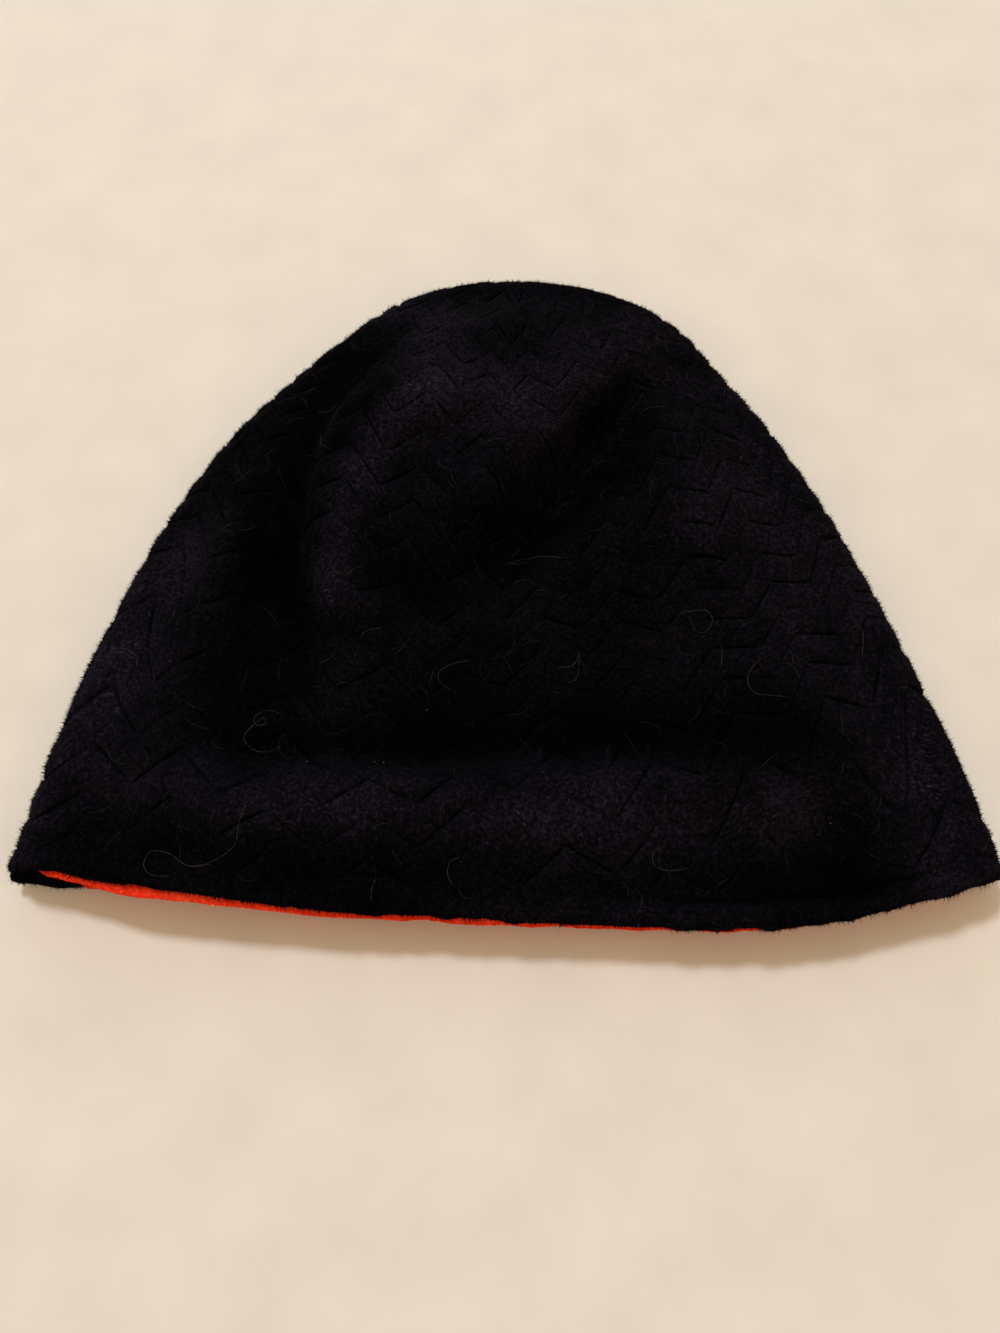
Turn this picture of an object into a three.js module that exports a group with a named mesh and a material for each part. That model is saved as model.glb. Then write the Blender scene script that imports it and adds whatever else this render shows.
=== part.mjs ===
// A soft beanie lying flat on its back panel: two black plush outer panels, sewn together round the
// sides and crown, and an orange plush lining of two panels inside them.
// Millimetres. X runs across the hat, Y from its rim to its crown, Z up from the floor.

import * as THREE from 'three';

// The flat hat
const WIDTH = 279.4;
const LENGTH = 227.3;

// Cloth and the clearances between its pieces
const OUTER_WALL = 1.6;
const LINING_WALL = 1.4;
const LAYER_GAP = 0.35;
const SEAM_GAP = 0.3;

// The hollow for the head, and how the cloth stands round it
const MOUTH_HEIGHT = 7.2;
const SIDE_HOLLOW = 3.2;
const CREST_RISE = 11;
const FOLD_RISE = 9;
const SHOULDER = 34;

// The rim
const RIM_LIFT = 17;
const BACK_STEP = 4;
const LINING_PEEK = 2;
const MOUTH_OPENING = 2.5;
const HEM = 7;
const HEM_SWELL = 0.8;
const HEM_CREASE = 0.9;
const CREASE_WIDTH = 1.75;
const EDGE_ROUNDING = 0.9;
const EDGE_LENGTH = 2.1;
const MOUTH_REACH = 27;

const HALF_WIDTH = WIDTH / 2;
const STACK = OUTER_WALL + LAYER_GAP + LINING_WALL;
const RIM_HEIGHT = 2 * STACK + MOUTH_HEIGHT;
const SEAM_SHARE = 0.35;
const SEAM_HEIGHT = STACK + SEAM_SHARE * MOUTH_HEIGHT;
const SIDE_ROLL = STACK + SIDE_HOLLOW;

// Sections across the flat hat. up is the share of LENGTH above the rim, half the share of the
// half width there, shift the sideways offset in the same share, and crest the share of CREST_RISE.
const SECTIONS = [
  { up: 0.00, half: 1.000, shift: 0.000, crest: 0.00 },
  { up: 0.05, half: 0.983, shift: 0.003, crest: 0.10 },
  { up: 0.12, half: 0.963, shift: 0.000, crest: 0.24 },
  { up: 0.25, half: 0.916, shift: -0.006, crest: 0.36 },
  { up: 0.40, half: 0.846, shift: -0.009, crest: 0.52 },
  { up: 0.55, half: 0.760, shift: -0.008, crest: 0.82 },
  { up: 0.70, half: 0.642, shift: -0.001, crest: 1.00 },
  { up: 0.82, half: 0.510, shift: 0.016, crest: 0.90 },
  { up: 0.90, half: 0.408, shift: 0.034, crest: 0.66 },
  { up: 0.96, half: 0.285, shift: 0.030, crest: 0.36 },
  { up: 1.00, half: 0.000, shift: 0.015, crest: 0.10 },
];

// Stations along the rim, from the left end to the right. lift is the share of RIM_LIFT that the rim
// stands towards the crown, back the share of BACK_STEP that the back panel reaches past the front,
// peek the share of LINING_PEEK that the lining shows, and open the share of MOUTH_OPENING.
const RIM = [
  { across: -1.00, lift: 0.96, back: 0.35, peek: -0.50, open: 0.0 },
  { across: -0.90, lift: 0.87, back: 0.40, peek: 0.45, open: 0.5 },
  { across: -0.68, lift: 0.58, back: 0.15, peek: 1.00, open: 1.0 },
  { across: -0.35, lift: 0.26, back: -0.20, peek: 0.50, open: 0.6 },
  { across: 0.00, lift: 0.10, back: -0.40, peek: 0.35, open: 0.2 },
  { across: 0.35, lift: -0.02, back: -0.40, peek: 0.20, open: 0.0 },
  { across: 0.60, lift: 0.03, back: -0.40, peek: -0.30, open: 0.0 },
  { across: 0.88, lift: 0.52, back: -0.30, peek: -0.40, open: 0.0 },
  { across: 1.00, lift: 0.80, back: 0.00, peek: -0.40, open: 0.0 },
];

// Folds of the front panel. Each is a curve from a start, past a bend, to an end, in shares of the
// half width and of LENGTH. rise is the share of FOLD_RISE, and spread a share of the half width.
const FOLD_COLUMNS = ['name', 'from', 'bend', 'to', 'rise', 'spread'];
const FOLDS = [
  ['left ridge', [-0.57, 0.50], [-0.80, 0.27], [-0.52, 0.11], 0.45, 0.080],
  ['left valley', [-0.28, 0.88], [-0.48, 0.62], [-0.49, 0.30], -0.75, 0.090],
  ['puff edge', [-0.12, 0.73], [-0.47, 0.74], [-0.35, 0.41], 0.70, 0.095],
  ['puff fold', [0.22, 0.76], [0.09, 0.67], [-0.06, 0.58], 0.55, 0.085],
  ['deep valley', [0.30, 0.73], [0.14, 0.58], [-0.03, 0.49], -1.00, 0.095],
  ['dimple', [-0.24, 0.46], [-0.19, 0.44], [-0.14, 0.43], -0.35, 0.060],
  ['right ridge', [0.38, 0.86], [0.26, 0.62], [0.57, 0.28], 0.50, 0.090],
  ['right dart', [0.40, 0.86], [0.41, 0.80], [0.43, 0.73], -0.40, 0.060],
  ['middle hollow', [-0.10, 0.34], [0.12, 0.31], [0.36, 0.34], -0.35, 0.200],
  ['rim band', [-0.66, 0.11], [0.00, 0.15], [0.75, 0.19], 0.40, 0.085],
  ['band crease', [-0.61, 0.22], [-0.10, 0.20], [0.43, 0.22], -0.25, 0.050],
  ['right dip', [0.62, 0.10], [0.70, 0.13], [0.78, 0.19], -0.30, 0.060],
  ['left dip', [-0.92, 0.16], [-0.84, 0.13], [-0.76, 0.11], -0.30, 0.060],
  ['crown ridge', [-0.20, 0.86], [0.06, 0.89], [0.30, 0.84], 0.30, 0.080],
].map((row) => Object.fromEntries(row.map((value, index) => [FOLD_COLUMNS[index], value])));

// How finely the cloth is meshed
const ROLL_COLUMNS = 4;
const FRONT_COLUMNS = 30;
const BACK_ROLL_COLUMNS = 3;
const BACK_COLUMNS = 6;
const HEM_ROWS = [0, 0.08, 0.3, 0.65, 1, 1.5];
const BODY_ROWS = 16;
const CROWN_ROWS = 6;
const CROWN_REACH = 0.11;
const FOLD_STEPS = 8;
const OUTLINE_STEPS = 26;

// A smooth curve through one column of a table
function curveOf(rows, place, value) {
  const places = rows.map(place);
  const values = rows.map(value);
  const curve = new THREE.CubicInterpolant(places, values, 1, [0]);
  return (at) => curve.evaluate(at)[0];
}

// The sections are read by angle, as on an arch, so that the crown comes out round
const turn = (up) => Math.asin(Math.min(up, 1));
const halfCurve = curveOf(SECTIONS, (row) => turn(row.up), (row) => row.half);
const shiftCurve = curveOf(SECTIONS, (row) => turn(row.up), (row) => row.shift);
const crestCurve = curveOf(SECTIONS, (row) => turn(row.up), (row) => row.crest);
const halfAt = (up) => halfCurve(turn(up));

const across = (row) => row.across;
const liftAt = curveOf(RIM, across, (row) => row.lift);
const backAt = curveOf(RIM, across, (row) => row.back);
const peekAt = curveOf(RIM, across, (row) => row.peek);
const openAt = curveOf(RIM, across, (row) => row.open);

// How far towards the crown a place is lifted by the curve of the rim
function rimCurve(u, up) {
  return RIM_LIFT * liftAt(u) * (1 - up) ** 2;
}

// How far past or short of the outer front's rim a piece ends; it fades out above the hem
function rimStep(piece, u, up) {
  const fade = Math.max(0, 1 - (up * LENGTH) / (2 * HEM));
  return fade * piece.reachAt(u);
}

// The height share at which the outline has closed in to a given half width
function outlineUp(half, up) {
  let low = up;
  let high = 1;
  for (let step = 0; step < OUTLINE_STEPS; step += 1) {
    const middle = (low + high) / 2;
    if (halfAt(middle) > half) low = middle;
    else high = middle;
  }
  return (low + high) / 2;
}

// The distance from a place on the flat hat to its sewn edge
function edgeDistance(u, up) {
  const side = HALF_WIDTH * halfAt(up) * (1 - Math.abs(u));
  if (side <= 0) return 0;
  const above = outlineUp(halfAt(up) * Math.abs(u), up);
  const rise = LENGTH * (above - up) + rimCurve(Math.sign(u), above) - rimCurve(u, up);
  return (side * rise) / Math.hypot(side, rise);
}

// The folds' curves, their shares turned to millimetres
const onHat = (share) => new THREE.Vector2(share[0] * HALF_WIDTH, share[1] * LENGTH);
const foldLines = FOLDS.map((fold) => {
  const curve = new THREE.QuadraticBezierCurve(onHat(fold.from), onHat(fold.bend), onHat(fold.to));
  return {
    points: curve.getPoints(FOLD_STEPS),
    rise: FOLD_RISE * fold.rise,
    spread: HALF_WIDTH * fold.spread,
  };
});

// The distance from a point to the nearest stretch of a line
function lineDistance(points, x, y) {
  let nearest = Infinity;
  for (let step = 1; step < points.length; step += 1) {
    const start = points[step - 1];
    const runX = points[step].x - start.x;
    const runY = points[step].y - start.y;
    const along = ((x - start.x) * runX + (y - start.y) * runY) / (runX ** 2 + runY ** 2);
    const share = THREE.MathUtils.clamp(along, 0, 1);
    nearest = Math.min(nearest, Math.hypot(x - start.x - share * runX, y - start.y - share * runY));
  }
  return nearest;
}

function foldHeight(x, y) {
  let height = 0;
  for (const fold of foldLines) {
    height += fold.rise * Math.exp(-((lineDistance(fold.points, x, y) / fold.spread) ** 2));
  }
  return height;
}

// The top of the front panel over a place, before its edge rolls down to the seam
function frontHeight(u, up, x, y, edge) {
  const shoulder = THREE.MathUtils.smoothstep(edge, 0, SHOULDER);
  const open = MOUTH_OPENING * openAt(u) * Math.max(0, 1 - (up * LENGTH) / MOUTH_REACH) ** 2;
  return RIM_HEIGHT + shoulder * (CREST_RISE * crestCurve(turn(up)) + foldHeight(x, y)) + open;
}

// A column's place across the hat, from -1 to 1. Columns stand close together where the edge rolls.
function acrossAt(piece, column) {
  const rolled = SIDE_ROLL / HALF_WIDTH;
  const total = 2 * piece.rollColumns + piece.columns;
  const fromEdge = Math.min(column, total - column);
  if (fromEdge < piece.rollColumns) {
    const share = 1 - rolled * (1 - Math.cos((Math.PI / 2) * (fromEdge / piece.rollColumns)));
    return column < total / 2 ? -share : share;
  }
  return (1 - rolled) * (2 * ((column - piece.rollColumns) / piece.columns) - 1);
}

// A point of a piece's outer face. Past the sewn edge the face carries on, mirrored in the seam.
function facePoint(piece, column, up) {
  const total = 2 * piece.rollColumns + piece.columns;
  const inside = column < 0 ? -column : Math.min(column, 2 * total - column);
  const u = acrossAt(piece, inside);
  const x = HALF_WIDTH * (shiftCurve(turn(up)) + u * halfAt(up));
  const y = LENGTH * up + rimCurve(u, up) - rimStep(piece, u, up);
  const edge = edgeDistance(u, up);
  const flat = 1 - Math.min(1, edge / SIDE_ROLL);
  const rolled = Math.sqrt(1 - flat ** 2);
  const seam = piece.front ? SEAM_HEIGHT + SEAM_GAP : SEAM_HEIGHT;
  const full = piece.front ? frontHeight(u, up, x, y, edge) : 0;
  const drop = (full - seam) * rolled;
  return new THREE.Vector3(x, y, inside === column ? seam + drop : seam - drop);
}

// The outward direction of a piece's face, from points a nudge to each side
function faceNormal(piece, column, up) {
  const nudge = 0.02;
  const lift = 0.0002;
  const run = facePoint(piece, column + nudge, up).sub(facePoint(piece, column - nudge, up));
  const rise = facePoint(piece, column, up + lift).sub(facePoint(piece, column, up - lift));
  return run.cross(rise).normalize().multiplyScalar(piece.front ? 1 : -1);
}

// How far the turned hem swells past the face, and how its edge is rounded
function hemDepth(piece, up) {
  const above = up * LENGTH;
  const rounding = EDGE_ROUNDING * Math.max(0, 1 - above / EDGE_LENGTH) ** 2;
  if (!piece.hem) return rounding;
  const swell = above < HEM ? HEM_SWELL * Math.sin((Math.PI * above) / HEM) : 0;
  const crease = HEM_CREASE * Math.exp(-(((above - HEM) / CREASE_WIDTH) ** 2));
  return rounding + crease - swell;
}

// The rows' height shares: the hem, the body, and the crown, where they close up to round it
function rowShares() {
  const rows = HEM_ROWS.map((share) => (share * HEM) / LENGTH);
  const first = rows[rows.length - 1];
  const last = 1 - CROWN_REACH;
  for (let row = 1; row <= BODY_ROWS; row += 1) rows.push(first + ((last - first) * row) / BODY_ROWS);
  for (let row = CROWN_ROWS; row >= 1; row -= 1) {
    const angle = (Math.PI / 2) * (row / (CROWN_ROWS + 1));
    rows.push(1 - CROWN_REACH * (1 - Math.cos(angle)));
  }
  return rows;
}

// The face's points and outward directions at every row and column, and at the crown's single point
function faceGrid(piece, rows, total) {
  const grid = rows.map((up) => Array.from({ length: total + 1 }, (_, column) => ({
    point: facePoint(piece, column, up),
    normal: faceNormal(piece, column, up),
    hem: hemDepth(piece, up),
  })));
  const crown = facePoint(piece, total / 2, 1);
  return [...grid, [{ point: crown, normal: new THREE.Vector3(0, 1, 0), hem: 0 }]];
}

// True where a cell follows the cloth better when it is cut from its upper left corner. It is the
// same for the outer layer and the lining, so that they stay side by side.
function cutsFromUpperLeft(piece, low, high, column) {
  const cloth = { ...piece, reachAt: () => 0 };
  const between = (a, b) => a.add(b).multiplyScalar(0.5).distanceTo(middle);
  const middle = facePoint(cloth, column + 0.5, (low + high) / 2);
  const rising = between(facePoint(cloth, column, low), facePoint(cloth, column + 1, high));
  const falling = between(facePoint(cloth, column, high), facePoint(cloth, column + 1, low));
  return falling < rising;
}

// The border of the grid, once round: the rim, the right side, the crown and the left side
function borderOf(last, total) {
  const border = [];
  for (let column = 0; column < total; column += 1) border.push([0, column]);
  for (let row = 0; row < last; row += 1) border.push([row, total]);
  border.push([last, 0]);
  for (let row = last - 1; row > 0; row -= 1) border.push([row, 0]);
  return border;
}

// A panel is a curved sheet between two depths under its outer face
function buildPanel(piece) {
  const rows = rowShares();
  const total = 2 * piece.rollColumns + piece.columns;
  const grid = faceGrid(piece, rows, total);
  const depths = [(place) => piece.depth + place.hem, () => piece.depth + piece.wall];
  const points = depths.flatMap((depth) => grid.flat().map((place) => (
    place.point.clone().addScaledVector(place.normal, -depth(place))
  )));
  const last = rows.length;
  const vertex = (layer, row, column) => (layer * points.length) / 2 + row * (total + 1) + column;
  const indices = [];
  const face = (a, b, c, turned) => indices.push(...(piece.front === turned ? [a, c, b] : [a, b, c]));
  for (let row = 0; row < last; row += 1) {
    for (let column = 0; column < total; column += 1) {
      const atCrown = row + 1 === last;
      const falling = !atCrown && cutsFromUpperLeft(piece, rows[row], rows[row + 1], column);
      for (const layer of [0, 1]) {
        const [a, b] = [vertex(layer, row, column), vertex(layer, row, column + 1)];
        const c = vertex(layer, row + 1, atCrown ? 0 : column + 1);
        const d = vertex(layer, row + 1, column);
        face(a, b, falling ? d : c, layer === 1);
        if (!atCrown) face(falling ? b : a, c, d, layer === 1);
      }
    }
  }
  const border = borderOf(last, total);
  border.forEach((here, index) => {
    const next = border[(index + 1) % border.length];
    face(vertex(0, ...here), vertex(1, ...here), vertex(1, ...next), false);
    face(vertex(0, ...here), vertex(1, ...next), vertex(0, ...next), false);
  });
  const geometry = new THREE.BufferGeometry().setFromPoints(points);
  geometry.setIndex(indices);
  geometry.computeVertexNormals();
  return geometry;
}

const blackPlush = new THREE.MeshStandardMaterial({ color: 0x0c0a0d, roughness: 0.95, metalness: 0 });
const orangePlush = new THREE.MeshStandardMaterial({ color: 0xe64b19, roughness: 0.9, metalness: 0 });

const front = { front: true, rollColumns: ROLL_COLUMNS, columns: FRONT_COLUMNS };
const back = { front: false, rollColumns: BACK_ROLL_COLUMNS, columns: BACK_COLUMNS };
const outer = { depth: 0, wall: OUTER_WALL, material: blackPlush };
const lining = { depth: OUTER_WALL + LAYER_GAP, wall: LINING_WALL, material: orangePlush };
const PIECES = [
  { name: 'outer_front', ...front, ...outer, hem: true, reachAt: () => 0 },
  { name: 'outer_back', ...back, ...outer, hem: false, reachAt: (u) => BACK_STEP * backAt(u) },
  { name: 'lining_front', ...front, ...lining, hem: false, reachAt: (u) => LINING_PEEK * peekAt(u) },
  { name: 'lining_back', ...back, ...lining, hem: false, reachAt: (u) => BACK_STEP * backAt(u) },
];

const beanie = new THREE.Group();
for (const piece of PIECES) {
  const mesh = new THREE.Mesh(buildPanel(piece), piece.material);
  mesh.name = piece.name;
  beanie.add(mesh);
}

// The origin is under the middle of the hat, on the floor
const middle = new THREE.Box3().setFromObject(beanie).getCenter(new THREE.Vector3());
beanie.position.set(-middle.x, -middle.y, 0);

export default beanie;
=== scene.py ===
"""A soft black plush beanie with an orange plush lining, lying flat on a pale surface.

Lengths are in millimetres up to the moment a mesh is made, and in metres from there on. The hat lies
on its back panel with its rim towards the camera and its crown away from it.
"""

import math

import bpy
import numpy as np
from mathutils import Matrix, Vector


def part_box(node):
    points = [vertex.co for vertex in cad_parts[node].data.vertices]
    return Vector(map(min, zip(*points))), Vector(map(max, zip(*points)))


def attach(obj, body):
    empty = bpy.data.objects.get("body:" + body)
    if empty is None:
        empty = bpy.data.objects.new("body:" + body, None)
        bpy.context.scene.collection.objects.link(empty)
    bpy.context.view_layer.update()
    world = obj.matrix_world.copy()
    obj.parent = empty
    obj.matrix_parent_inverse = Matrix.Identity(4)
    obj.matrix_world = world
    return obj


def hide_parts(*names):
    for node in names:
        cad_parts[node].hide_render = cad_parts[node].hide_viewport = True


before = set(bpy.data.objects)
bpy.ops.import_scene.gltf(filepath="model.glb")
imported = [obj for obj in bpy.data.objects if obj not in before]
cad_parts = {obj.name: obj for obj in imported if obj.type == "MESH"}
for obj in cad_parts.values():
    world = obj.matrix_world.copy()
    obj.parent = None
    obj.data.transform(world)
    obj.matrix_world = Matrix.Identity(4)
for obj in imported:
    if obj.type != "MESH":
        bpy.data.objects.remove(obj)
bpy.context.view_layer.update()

MM = 0.001

# The flat hat and its cloth, as in the part's source
WIDTH = 279.4
LENGTH = 227.3
OUTER_WALL = 1.6
LINING_WALL = 1.4
LAYER_GAP = 0.35
SEAM_GAP = 0.3
MOUTH_HEIGHT = 7.2
SIDE_HOLLOW = 3.2
CREST_RISE = 11.0
FOLD_RISE = 9.0
SHOULDER = 34.0
RIM_LIFT = 17.0
BACK_STEP = 4.0
LINING_PEEK = 2.0
MOUTH_OPENING = 2.5
MOUTH_REACH = 27.0
HEM = 7.0
SEAM_SHARE = 0.35

HALF_WIDTH = WIDTH / 2
STACK = OUTER_WALL + LAYER_GAP + LINING_WALL
RIM_HEIGHT = 2 * STACK + MOUTH_HEIGHT
SEAM_HEIGHT = STACK + SEAM_SHARE * MOUTH_HEIGHT
SIDE_ROLL = STACK + SIDE_HOLLOW
LINING_DEPTH = OUTER_WALL + LAYER_GAP

# The embossed zigzag: fine grooves, fainter at their corners, with pillows of pile between them
ZIG_HALF_PERIOD = 13.5
ZIG_HEIGHT = 9.9
ZIG_SPACING = 12.2
ZIG_PHASE = -10.8
ROW_PHASE = -4.2
GROOVE_DEPTH = 1.1
GROOVE_HALF_WIDTH = 0.42
# How much darker the grooves are painted: painted shade where the pile shades them
GROOVE_PAINTED_SHADE = 0.85
CORNER_GAP = 0.75
CORNER_GAP_REACH = 1.1
STROKE_LEAST = 0.4
STROKE_RANGE = 0.7
PILLOW_HEIGHT = 0.4
PILLOW_REACH = 2.6

# How the zigzag's rows turn up towards the sewn sides, more so higher up, and how far its strokes
# lean over where the rows climb
ROW_BEND_LOW = 0.15
ROW_BEND_HIGH = 0.95
ROW_BEND_LEFT = 0.8
ROW_BEND_ENDS = (0.05, 0.55)
ROW_POWER_LOW = 1.25
ROW_POWER_HIGH = 1.7
ROW_LEAN = 0.35
ROW_LEAN_FROM = 30.0

# Where across the hat the lowest rows are level, how much they climb to the right besides, and the
# height shares between which both fade out
ROW_LEVEL_AT = -0.27
ROW_TILT = 0.08
ROW_LEVEL_ENDS = (0.15, 0.50)

# How much the upper rows climb to the right, and the height shares between which that sets in
ROW_UPPER_TILT = 0.03
ROW_UPPER_ENDS = (0.1, 0.4)

# How far the pile's tufts stand out at random, and the spacing of mesh rows that shows them in full
TUFT_HEIGHT = 0.12
TUFT_ROW_GAP = 0.45

# How much deeper the lining hangs under the outer cloth away from the rim, and where that sets in
LINING_EASE = 0.9
LINING_EASE_ENDS = (12, 26)

# How far the cloth is drawn in at the crown, and the height shares between which that sets in
CROWN_DRAW = 2.2
CROWN_DRAW_ENDS = (0.6, 0.95)

# The hem: its swell, the crease along its stitching, where across the hat both show, and between
# which heights the zigzag sets in
HEM_SWELL = 0.7
HEM_CREASE = 1.3
HEM_CREASE_WIDTH = 0.9
HEM_SHOWS_FROM = (0.05, 0.45)
HEM_SHOWS_TO = (0.80, 0.95)
HEM_TO_ZIGZAG = (1, 13)

# How far a turned rim and a plain rim are rounded off, and over which height
TURNED_ROUNDING = 1.1
PLAIN_ROUNDING = 0.6
ROUNDING_REACH = 1.8

# How uneven tufts and longer waves make a rim, and over which height
RAGGED_TUFTS = 0.18
RAGGED_WAVES = 0.24
RAGGED_REACH = 2.5

# The left end of the mouth, where the back panel's rim shows as a tongue and curls up
TONGUE_ENDS = (-0.89, -0.81)
TONGUE_REACH = 0.9
BEYOND_TONGUE_REACH = -0.8
CURL_STARTS = (-1.0, -0.96)
CURL_ENDS = (-0.90, -0.83)
CURL_HEIGHT = 2.2
CURL_REACH = 5

# There the front lining hides at the pinch and the back lining on the tongue
PINCH_ENDS = (-0.945, -0.90)
PINCH_HIDES = 2.6
FRONT_PEEK_STARTS = (-0.9, -0.8)
FRONT_PEEK = 0.25
BACK_PEEK_STARTS = (-0.90, -0.84)
BACK_HIDES = 6.0
BACK_PEEK = 0.4

# Sections across the flat hat: height share, half-width share, sideways share, crest share
SECTIONS = np.array([
    (0.00, 1.000, 0.000, 0.00),
    (0.05, 0.983, 0.003, 0.10),
    (0.12, 0.963, 0.000, 0.24),
    (0.25, 0.916, -0.006, 0.36),
    (0.40, 0.846, -0.009, 0.52),
    (0.55, 0.760, -0.008, 0.82),
    (0.70, 0.642, -0.001, 1.00),
    (0.82, 0.510, 0.016, 0.90),
    (0.90, 0.408, 0.034, 0.66),
    (0.96, 0.285, 0.030, 0.36),
    (1.00, 0.000, 0.015, 0.10),
])

# Stations along the rim: place across, lift, back panel's reach, lining's reach, opening
RIM = np.array([
    (-1.00, 0.96, 0.35, -0.50, 0.0),
    (-0.90, 0.87, 0.40, 0.45, 0.5),
    (-0.68, 0.58, 0.15, 1.00, 1.0),
    (-0.35, 0.26, -0.20, 0.50, 0.6),
    (0.00, 0.10, -0.40, 0.35, 0.2),
    (0.35, -0.02, -0.40, 0.20, 0.0),
    (0.60, 0.03, -0.40, -0.30, 0.0),
    (0.88, 0.52, -0.30, -0.40, 0.0),
    (1.00, 0.80, 0.00, -0.40, 0.0),
])

# Folds of the front panel: start, bend and end in shares of the half width and the length, the rise
# as a share of FOLD_RISE, and the spread as a share of the half width
FOLDS = [
    ("left ridge", (-0.57, 0.50), (-0.80, 0.27), (-0.52, 0.11), 0.45, 0.080),
    ("left valley", (-0.28, 0.88), (-0.48, 0.62), (-0.49, 0.30), -0.75, 0.090),
    ("puff edge", (-0.12, 0.73), (-0.47, 0.74), (-0.35, 0.41), 0.70, 0.095),
    ("puff fold", (0.22, 0.76), (0.09, 0.67), (-0.06, 0.58), 0.55, 0.085),
    ("deep valley", (0.30, 0.73), (0.14, 0.58), (-0.03, 0.49), -1.00, 0.095),
    ("dimple", (-0.24, 0.46), (-0.19, 0.44), (-0.14, 0.43), -0.35, 0.060),
    ("right ridge", (0.38, 0.86), (0.26, 0.62), (0.57, 0.28), 0.50, 0.090),
    ("right dart", (0.40, 0.86), (0.41, 0.80), (0.43, 0.73), -0.40, 0.060),
    ("middle hollow", (-0.10, 0.34), (0.12, 0.31), (0.36, 0.34), -0.35, 0.200),
    ("rim band", (-0.66, 0.11), (0.00, 0.15), (0.75, 0.19), 0.40, 0.085),
    ("band crease", (-0.61, 0.22), (-0.10, 0.20), (0.43, 0.22), -0.25, 0.050),
    ("right dip", (0.62, 0.10), (0.70, 0.13), (0.78, 0.19), -0.30, 0.060),
    ("left dip", (-0.92, 0.16), (-0.84, 0.13), (-0.76, 0.11), -0.30, 0.060),
    ("crown ridge", (-0.20, 0.86), (0.06, 0.89), (0.30, 0.84), 0.30, 0.080),
]
FOLD_STEPS = 8

# Places where the pile hides how sharp a fold is: a curve as above, the step's height in millimetres
# from its right-hand side to its left-hand side as the curve runs, and the step's width
STEPS = [
    ("puff front", (0.27, 0.76), (0.12, 0.625), (-0.06, 0.525), -4.4, 1.3),
    ("wedge side", (0.36, 0.70), (0.24, 0.57), (0.03, 0.475), 2.6, 2.4),
    ("puff side", (-0.26, 0.84), (-0.50, 0.69), (-0.42, 0.33), 4.0, 2.0),
    ("ridge side", (0.46, 0.84), (0.33, 0.62), (0.48, 0.34), 2.2, 4.0),
    ("band top", (-0.58, 0.195), (-0.10, 0.188), (0.45, 0.205), -1.8, 2.4),
]

# How far from its curve a step dies away, and between which shares of its span it fades at its ends
STEP_REACH = 10.0
STEP_ENDS = (0.35, 0.55)

# Folds stand a little higher than in the solids, because the pile softens them
FOLD_GAIN = 1.05

# Painted light and shade on the front panel's colour: lighter where the cloth faces the light, darker in the
# valleys, creases, dips and the wedge where shade falls. A curve as above, the change of its lightness, and
# its spread as a share of the half width
PAINTED_LIGHT_AND_SHADE = [
    ("crown", (-0.23, 0.85), (0.04, 0.97), (0.32, 0.85), 0.25, 0.16),
    ("crown left", (-0.26, 0.86), (-0.19, 0.80), (-0.15, 0.73), 0.35, 0.12),
    ("puff top", (-0.34, 0.58), (-0.15, 0.70), (0.12, 0.72), 0.35, 0.18),
    ("puff roll", (-0.18, 0.72), (-0.38, 0.62), (-0.35, 0.43), 1.30, 0.055),
    ("right flank", (0.41, 0.78), (0.62, 0.60), (0.72, 0.38), 0.30, 0.22),
    ("left flank", (-0.92, 0.17), (-0.84, 0.31), (-0.74, 0.40), 1.90, 0.15),
    ("band", (-0.72, 0.14), (-0.05, 0.13), (0.78, 0.16), 1.45, 0.105),
    ("right corner", (0.84, 0.18), (0.92, 0.11), (0.92, 0.04), 0.40, 0.12),
    ("mid left", (-0.41, 0.38), (-0.30, 0.30), (-0.35, 0.24), 0.60, 0.09),
    ("right ridge", (0.41, 0.56), (0.46, 0.41), (0.60, 0.29), 0.35, 0.12),
    ("left valley", (-0.34, 0.85), (-0.62, 0.60), (-0.50, 0.33), -0.68, 0.13),
    ("puff shadow", (-0.28, 0.73), (-0.49, 0.61), (-0.45, 0.38), -0.70, 0.055),
    ("upper left", (-0.47, 0.73), (-0.59, 0.59), (-0.66, 0.49), -0.20, 0.15),
    ("wedge slope", (0.30, 0.71), (0.17, 0.585), (-0.03, 0.49), -0.45, 0.05),
    ("deep wedge", (0.34, 0.69), (0.22, 0.565), (0.02, 0.475), -0.80, 0.045),
    ("middle", (-0.05, 0.28), (0.20, 0.40), (0.44, 0.28), -0.50, 0.24),
    ("below band", (-0.86, 0.10), (-0.11, 0.045), (0.67, 0.045), -0.62, 0.085),
    ("band crease", (-0.51, 0.225), (-0.01, 0.235), (0.59, 0.235), -0.70, 0.09),
    ("dimple", (-0.27, 0.46), (-0.21, 0.44), (-0.15, 0.43), -0.60, 0.08),
    ("left dip", (-0.85, 0.15), (-0.77, 0.13), (-0.70, 0.10), -0.50, 0.09),
    ("right dip", (0.70, 0.19), (0.74, 0.13), (0.67, 0.07), -0.65, 0.12),
    ("left lower", (-0.71, 0.41), (-0.61, 0.30), (-0.53, 0.22), -0.25, 0.12),
    ("hem", (0.10, 0.012), (0.60, 0.012), (0.90, 0.03), 0.60, 0.03),
]

# How much the pile's lightness varies besides, in small and in larger patches
TOUSLED = 0.22
SMUDGED = 0.20

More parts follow.
